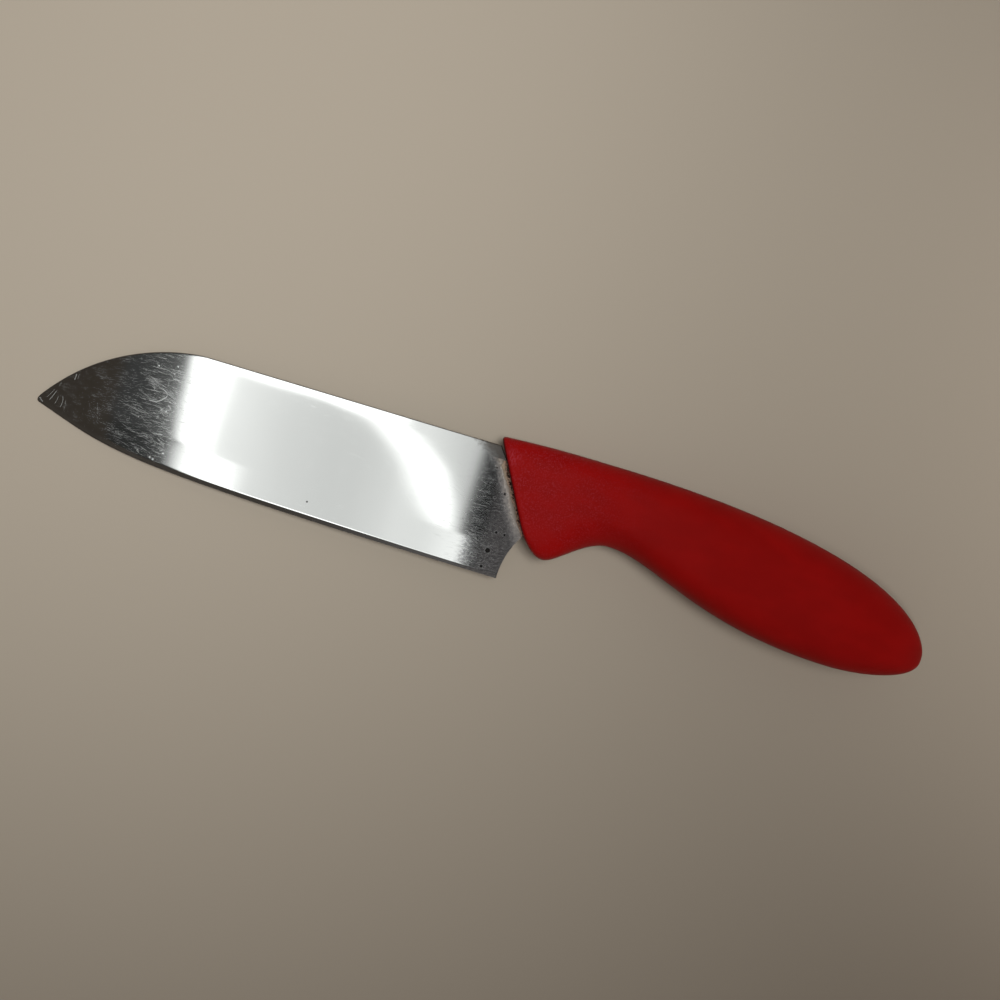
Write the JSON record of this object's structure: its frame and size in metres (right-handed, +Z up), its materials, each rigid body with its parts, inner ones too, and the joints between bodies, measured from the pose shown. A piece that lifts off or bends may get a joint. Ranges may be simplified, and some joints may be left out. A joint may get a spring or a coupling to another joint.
{
  "type": "santoku knife",
  "caption": "Santoku kitchen knife lying on its side: ground steel blade with a hidden tang glued into a red moulded handle with a finger groove and palm swell.",
  "frame": {"origin": "on the table under the middle of the knife's bounding box, with the knife lying on its side", "axes": "+X along the spine from the tip to the butt, +Y from the cutting edge to the spine, +Z up from the table, across the blade; the blade's plane is pitched by about 2.9 degrees about Y because the knife rests on its tip and on the palm of the handle"},
  "size_m": [0.2348, 0.036, 0.0203],
  "materials": {
    "blade_steel": "satin ground stainless steel, worn, with fine scratches along the blade and a darker edge bevel",
    "red_plastic": "matte red moulded plastic with a fine grain",
    "resin_glue": "dull beige filled resin, crumbly where it was squeezed out"
  },
  "bodies": {
    "root": {"blade": "blade_steel", "handle": "red_plastic", "tang_adhesive": "resin_glue"}
  },
  "joints": []
}
